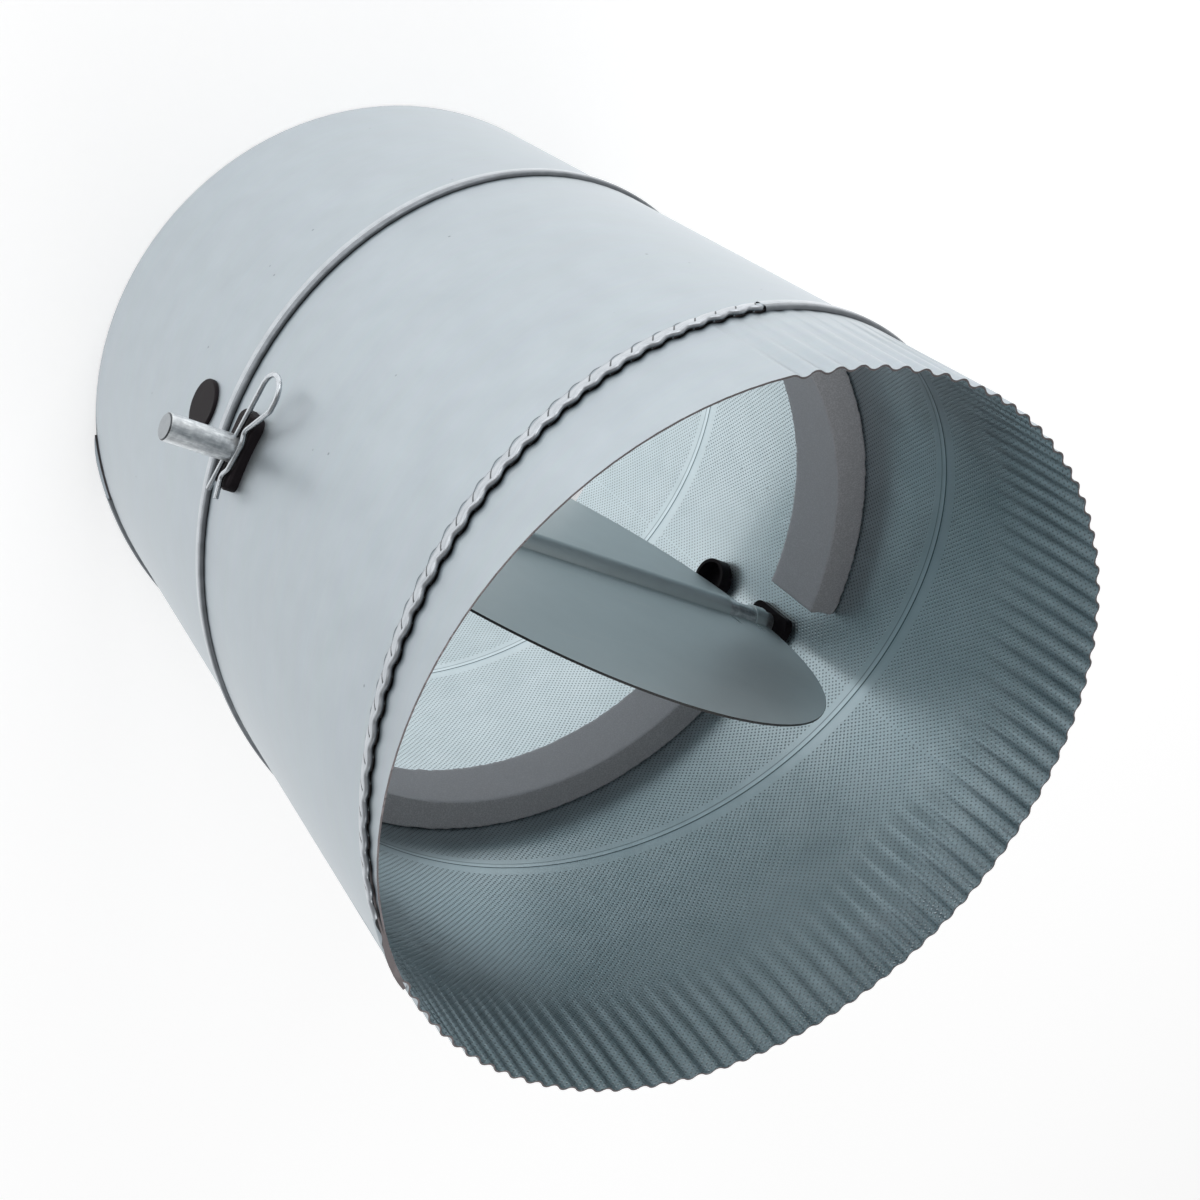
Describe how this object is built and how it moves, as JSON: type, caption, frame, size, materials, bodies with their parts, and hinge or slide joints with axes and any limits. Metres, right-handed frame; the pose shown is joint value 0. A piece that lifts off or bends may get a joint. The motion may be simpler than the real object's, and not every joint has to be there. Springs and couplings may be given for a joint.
{
  "type": "zone damper",
  "caption": "Round spiral-seam duct zone damper with a crimped end, a flat blade on a through shaft, plastic bushings and foam blade stops.",
  "frame": {"origin": "centre of the plain rim, in the plane of the rim", "axes": "+Z along the duct from the plain end to the crimped end, +X along the shaft to its drive end; the blade is drawn fully open in the plane Y = 0"},
  "size_m": [0.287, 0.257, 0.308],
  "materials": {
    "galvanised_sheet": "satin hot-dip galvanised",
    "blade_sheet": "satin galvanised, slightly dull",
    "shaft_steel": "zinc plated rod, mottled",
    "clip_wire": "bright zinc plated wire",
    "black_plastic": "moulded matt black",
    "stop_foam": "open grey foam"
  },
  "bodies": {
    "duct": {"duct_body": "galvanised_sheet", "drive_bushing": "black_plastic", "idle_bushing": "black_plastic", "drive_plug": "black_plastic", "idle_plug": "black_plastic", "front_stop": "stop_foam", "back_stop": "stop_foam"},
    "damper": {"damper_blade": "blade_sheet", "shaft": "shaft_steel", "hairpin_clip": "clip_wire"}
  },
  "joints": [
    {"name": "blade_turn", "type": "hinge", "parent": "duct", "child": "damper", "pos_m": [0, 0, 0.157], "axis": [1, 0, 0], "range_deg": [-90, 0]}
  ]
}
